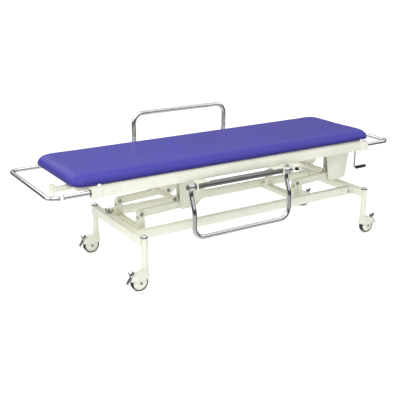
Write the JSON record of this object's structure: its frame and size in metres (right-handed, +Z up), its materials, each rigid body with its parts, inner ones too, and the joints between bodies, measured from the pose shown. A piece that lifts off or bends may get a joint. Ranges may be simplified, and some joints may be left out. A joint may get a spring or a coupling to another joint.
{
  "type": "stretcher trolley",
  "caption": "Height-adjustable hospital stretcher on braked swivel casters, with a crank-driven parallel-arm lift, flat mattress, sliding push handles and swing-down side guards.",
  "frame": {"origin": "centre of the bounding box at floor level, guards as stored: near side lowered, far side raised", "axes": "+X along the length towards the crank end, +Y towards the side with the raised guard, +Z up"},
  "size_m": [2.153, 0.73, 0.776],
  "materials": {
    "ivory_paint": "satin",
    "shade_paint": "satin",
    "ivory_plastic": "satin",
    "hub_plastic": "satin",
    "cover_plastic": "satin",
    "tyre_rubber": "satin",
    "grey_plastic": "satin",
    "black_plastic": "satin",
    "white_plastic": "gloss",
    "cap_chrome": "polished",
    "chrome_tube": "polished",
    "zinc_steel": "satin",
    "brushed_tube": "satin",
    "lock_black": "satin",
    "mattress_cover": "satin",
    "deck_wood": "satin"
  },
  "bodies": {
    "base": {"base_beam_near": "ivory_paint", "base_beam_far": "ivory_paint", "base_crossbeam_head": "ivory_paint", "base_crossbeam_foot": "ivory_paint", "lift_sills": "ivory_paint", "leg_head_near": "ivory_paint", "leg_head_far": "ivory_paint", "leg_foot_near": "ivory_paint", "leg_foot_far": "ivory_paint", "leg_caps": "cap_chrome", "lift_posts": "ivory_paint", "base_pivot_pins": "zinc_steel"},
    "caster_head_near": {"caster_fork_head_near": "ivory_plastic"},
    "wheel_head_near": {"caster_hub_head_near": "hub_plastic", "caster_tyre_head_near": "tyre_rubber"},
    "pedal_head_near": {"brake_pedal_head_near": "grey_plastic"},
    "caster_head_far": {"caster_fork_head_far": "ivory_plastic"},
    "wheel_head_far": {"caster_hub_head_far": "hub_plastic", "caster_tyre_head_far": "tyre_rubber"},
    "pedal_head_far": {"brake_pedal_head_far": "grey_plastic"},
    "caster_foot_near": {"caster_fork_foot_near": "ivory_plastic"},
    "wheel_foot_near": {"caster_hub_foot_near": "hub_plastic", "caster_tyre_foot_near": "tyre_rubber"},
    "pedal_foot_near": {"brake_pedal_foot_near": "grey_plastic"},
    "caster_foot_far": {"caster_fork_foot_far": "ivory_plastic"},
    "wheel_foot_far": {"caster_hub_foot_far": "hub_plastic", "caster_tyre_foot_far": "tyre_rubber"},
    "pedal_foot_far": {"brake_pedal_foot_far": "grey_plastic"},
    "lift_head": {"lift_arm_head_near": "ivory_paint", "lift_arm_head_far": "ivory_paint", "torque_tube_head": "ivory_paint"},
    "lift_foot": {"lift_arm_foot_near": "ivory_paint", "lift_arm_foot_far": "ivory_paint", "torque_tube_foot": "ivory_paint"},
    "top": {"side_rail_near": "ivory_paint", "side_rail_far": "ivory_paint", "frame_crossbars": "shade_paint", "lift_gussets": "ivory_paint", "top_pivot_pins": "zinc_steel", "rail_end_sleeves": "ivory_paint", "handle_knobs": "white_plastic", "mattress": "mattress_cover", "deck_board": "deck_wood", "pole_socket": "ivory_paint", "screw_bearing": "zinc_steel", "drive_cover": "cover_plastic", "guard_pivot_tube_near": "brushed_tube", "guard_pivot_tube_far": "brushed_tube", "guard_brackets": "ivory_paint"},
    "nut": {"lift_nut": "zinc_steel"},
    "crank": {"lift_screw": "zinc_steel", "crank_rod": "chrome_tube"},
    "grip": {"crank_grip": "black_plastic"},
    "handle_head": {"push_handle_head": "chrome_tube"},
    "handle_foot": {"push_handle_foot": "chrome_tube"},
    "guard_near": {"guard_loop_near": "chrome_tube"},
    "lock_near": {"guard_lock_near": "lock_black"},
    "guard_far": {"guard_loop_far": "chrome_tube"},
    "lock_far": {"guard_lock_far": "lock_black"}
  },
  "joints": [
    {"name": "swivel_head_near", "type": "hinge", "parent": "base", "child": "caster_head_near", "pos_m": [-0.6005, -0.287, 0.12], "axis": [0, 0, 1], "continuous": true},
    {"name": "roll_head_near", "type": "hinge", "parent": "caster_head_near", "child": "wheel_head_near", "pos_m": [-0.6345, -0.287, 0.045], "axis": [0, 1, 0], "continuous": true},
    {"name": "brake_head_near", "type": "hinge", "parent": "caster_head_near", "child": "pedal_head_near", "pos_m": [-0.6775, -0.287, 0.086], "axis": [0, 1, 0], "range_deg": [0, 12]},
    {"name": "swivel_head_far", "type": "hinge", "parent": "base", "child": "caster_head_far", "pos_m": [-0.6005, 0.305, 0.12], "axis": [0, 0, 1], "continuous": true},
    {"name": "roll_head_far", "type": "hinge", "parent": "caster_head_far", "child": "wheel_head_far", "pos_m": [-0.6345, 0.305, 0.045], "axis": [0, 1, 0], "continuous": true},
    {"name": "brake_head_far", "type": "hinge", "parent": "caster_head_far", "child": "pedal_head_far", "pos_m": [-0.6775, 0.305, 0.086], "axis": [0, 1, 0], "range_deg": [0, 12]},
    {"name": "swivel_foot_near", "type": "hinge", "parent": "base", "child": "caster_foot_near", "pos_m": [0.8835, -0.287, 0.12], "axis": [0, 0, 1], "continuous": true},
    {"name": "roll_foot_near", "type": "hinge", "parent": "caster_foot_near", "child": "wheel_foot_near", "pos_m": [0.9175, -0.287, 0.045], "axis": [0, 1, 0], "continuous": true},
    {"name": "brake_foot_near", "type": "hinge", "parent": "caster_foot_near", "child": "pedal_foot_near", "pos_m": [0.9605, -0.287, 0.086], "axis": [0, -1, 0], "range_deg": [0, 12]},
    {"name": "swivel_foot_far", "type": "hinge", "parent": "base", "child": "caster_foot_far", "pos_m": [0.8835, 0.305, 0.12], "axis": [0, 0, 1], "continuous": true},
    {"name": "roll_foot_far", "type": "hinge", "parent": "caster_foot_far", "child": "wheel_foot_far", "pos_m": [0.9175, 0.305, 0.045], "axis": [0, 1, 0], "continuous": true},
    {"name": "brake_foot_far", "type": "hinge", "parent": "caster_foot_far", "child": "pedal_foot_far", "pos_m": [0.9605, 0.305, 0.086], "axis": [0, -1, 0], "range_deg": [0, 12]},
    {"name": "lift", "type": "hinge", "parent": "base", "child": "lift_head", "pos_m": [-0.5335, 0.009, 0.338], "axis": [0, -1, 0], "range_deg": [0, 50]},
    {"name": "lift_foot_turn", "type": "hinge", "parent": "base", "child": "lift_foot", "pos_m": [0.4895, 0.009, 0.338], "axis": [0, -1, 0], "range_deg": [0, 50]},
    {"name": "top_turn", "type": "hinge", "parent": "lift_head", "child": "top", "pos_m": [-0.23379, 0.009, 0.35109], "axis": [0, -1, 0], "range_deg": [-50, 0]},
    {"name": "nut_slide", "type": "slide", "parent": "top", "child": "nut", "axis": [-1, 0, 0], "range_m": [0, 0.11777]},
    {"name": "crank_turn", "type": "hinge", "parent": "top", "child": "crank", "pos_m": [0.9515, -0.118, 0.47509], "axis": [1, 0, 0], "range_deg": [0, 8640]},
    {"name": "grip_turn", "type": "hinge", "parent": "crank", "child": "grip", "pos_m": [1.0015, -0.118, 0.35909], "axis": [1, 0, 0], "continuous": true},
    {"name": "handle_head_slide", "type": "slide", "parent": "top", "child": "handle_head", "axis": [-1, 0, 0], "range_m": [0, 0.12]},
    {"name": "handle_foot_slide", "type": "slide", "parent": "top", "child": "handle_foot", "axis": [1, 0, 0], "range_m": [0, 0.12]},
    {"name": "guard_near_swing", "type": "hinge", "parent": "top", "child": "guard_near", "pos_m": [-0.0445, -0.313, 0.5], "axis": [-1, 0, 0], "range_deg": [0, 180]},
    {"name": "guard_far_swing", "type": "hinge", "parent": "top", "child": "guard_far", "pos_m": [-0.0445, 0.331, 0.5], "axis": [-1, 0, 0], "range_deg": [0, 180]},
    {"name": "lock_near_push", "type": "slide", "parent": "top", "child": "lock_near", "axis": [-1, 0, 0], "range_m": [0, 0.0045]},
    {"name": "lock_far_push", "type": "slide", "parent": "top", "child": "lock_far", "axis": [-1, 0, 0], "range_m": [0, 0.0045]}
  ],
  "couplings": [
    {"joint": "lift_foot_turn", "follows": "lift", "ratio": 1},
    {"joint": "top_turn", "follows": "lift", "ratio": -1},
    {"joint": "nut_slide", "follows": "lift", "m_per_rad": 0.13496},
    {"joint": "crank_turn", "follows": "lift", "ratio": 169.59}
  ]
}
